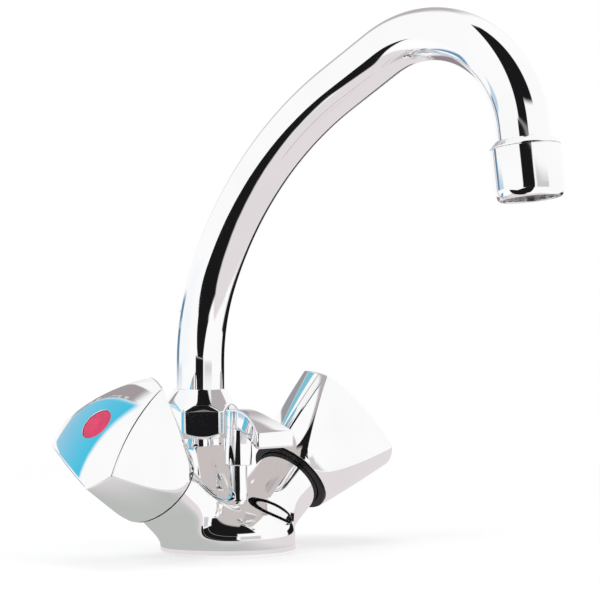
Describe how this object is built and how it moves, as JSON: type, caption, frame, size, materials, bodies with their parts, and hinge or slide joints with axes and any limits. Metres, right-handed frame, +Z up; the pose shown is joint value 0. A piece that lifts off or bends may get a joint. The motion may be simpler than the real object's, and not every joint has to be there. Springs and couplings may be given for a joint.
{
  "type": "basin mixer tap",
  "caption": "Deck-mounted basin mixer with two triangular screw-down handles, a high bent swivel spout with aerator and a lift knob for the waste.",
  "frame": {"origin": "middle of the round base on its underside, where it stands on the basin", "axes": "+Z up; the spout reaches to -Y, the user stands at -Y, the hot handle is at -X and the cold handle at +X"},
  "size_m": [0.1406, 0.1656, 0.1899],
  "materials": {
    "chrome": "polished",
    "brass": "machined",
    "steel": "machined",
    "black_plastic": "moulded",
    "white_plastic": "moulded",
    "grey_plastic": "moulded",
    "red_plastic": "moulded",
    "blue_plastic": "moulded",
    "rubber": "moulded"
  },
  "bodies": {
    "body": {"body_casting": "chrome", "base_gasket": "rubber", "rod_bush": "white_plastic", "spout_union_nut": "chrome", "slide_ring_lower": "white_plastic", "slide_ring_upper": "white_plastic", "hot_headwork_body": "brass", "hot_headwork_seal": "rubber", "cold_headwork_body": "brass", "cold_headwork_seal": "rubber"},
    "spout": {"spout_tube": "chrome", "spout_tail": "brass", "spout_o_rings": "rubber", "spout_end_sleeve": "chrome", "aerator_housing": "chrome", "aerator_washer": "rubber", "aerator_insert": "grey_plastic", "aerator_mesh": "steel"},
    "lift": {"lift_knob": "chrome", "lift_rod": "chrome"},
    "hot_handle": {"hot_handle_shell": "chrome", "hot_handle_core": "black_plastic", "hot_handle_screw": "steel", "hot_index_cap": "red_plastic", "hot_spindle": "brass", "hot_spindle_o_ring": "rubber", "hot_spindle_clip": "steel"},
    "hot_valve": {"hot_valve_cone": "brass", "hot_valve_washer": "rubber", "hot_valve_screw": "steel"},
    "cold_handle": {"cold_handle_shell": "chrome", "cold_handle_core": "black_plastic", "cold_handle_screw": "steel", "cold_index_cap": "blue_plastic", "cold_spindle": "brass", "cold_spindle_o_ring": "rubber", "cold_spindle_clip": "steel"},
    "cold_valve": {"cold_valve_cone": "brass", "cold_valve_washer": "rubber", "cold_valve_screw": "steel"}
  },
  "joints": [
    {"name": "spout_swivel", "type": "hinge", "parent": "body", "child": "spout", "pos_m": [0, 0.0156, 0.0496], "axis": [0, 0, 1], "continuous": true},
    {"name": "lift_pull", "type": "slide", "parent": "body", "child": "lift", "axis": [0, 0, 1], "range_m": [0, 0.012]},
    {"name": "hot_handle_turn", "type": "hinge", "parent": "body", "child": "hot_handle", "pos_m": [-0.03332, 0.0013, 0.02611], "axis": [-0.766, 0, 0.6428], "range_deg": [0, 540]},
    {"name": "hot_valve_lift", "type": "slide", "parent": "body", "child": "hot_valve", "axis": [-0.766, 0, 0.6428], "range_m": [0, 0.003]},
    {"name": "cold_handle_turn", "type": "hinge", "parent": "body", "child": "cold_handle", "pos_m": [0.03332, 0.0013, 0.02611], "axis": [0.766, 0, 0.6428], "range_deg": [0, 540]},
    {"name": "cold_valve_lift", "type": "slide", "parent": "body", "child": "cold_valve", "axis": [0.766, 0, 0.6428], "range_m": [0, 0.003]}
  ],
  "couplings": [
    {"joint": "hot_valve_lift", "follows": "hot_handle_turn", "m_per_rad": 0.0003183},
    {"joint": "cold_valve_lift", "follows": "cold_handle_turn", "m_per_rad": 0.0003183}
  ]
}
